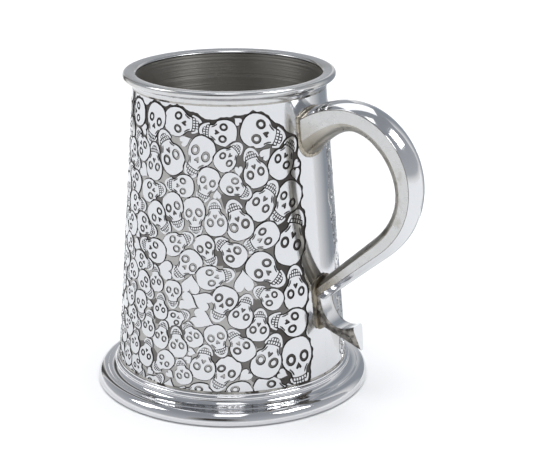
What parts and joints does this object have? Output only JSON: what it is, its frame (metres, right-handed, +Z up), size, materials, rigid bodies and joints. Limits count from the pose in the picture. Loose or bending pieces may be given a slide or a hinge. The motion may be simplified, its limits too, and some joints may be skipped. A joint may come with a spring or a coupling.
{
  "type": "pewter tankard",
  "caption": "Lidless pint tankard with a tapered drum, a beaded lip, a spreading foot and a C-shaped handle with a flicked tail.",
  "frame": {"origin": "on the drum's axis at the plane of the table; the base disc's underside is 0.8 mm above it", "axes": "+Z up along the drum's axis, +X out through the handle, +Y across the handle"},
  "size_m": [0.1366, 0.1064, 0.1226],
  "materials": {
    "drum_pewter": "polished pewter, embossed and patinated",
    "polished_pewter": "bright polished pewter",
    "handle_pewter": "cast pewter, polished back and satin sides",
    "satin_pewter": "brushed pewter",
    "solder": "dull solder with darkened flux"
  },
  "bodies": {
    "root": {"drum": "drum_pewter", "lip_ring": "polished_pewter", "foot_ring": "polished_pewter", "base_disc": "satin_pewter", "handle": "handle_pewter", "seam_solder": "solder", "base_solder": "solder", "foot_solder": "solder", "lip_solder": "solder", "handle_upper_solder": "solder", "handle_lower_solder": "solder"}
  },
  "joints": []
}
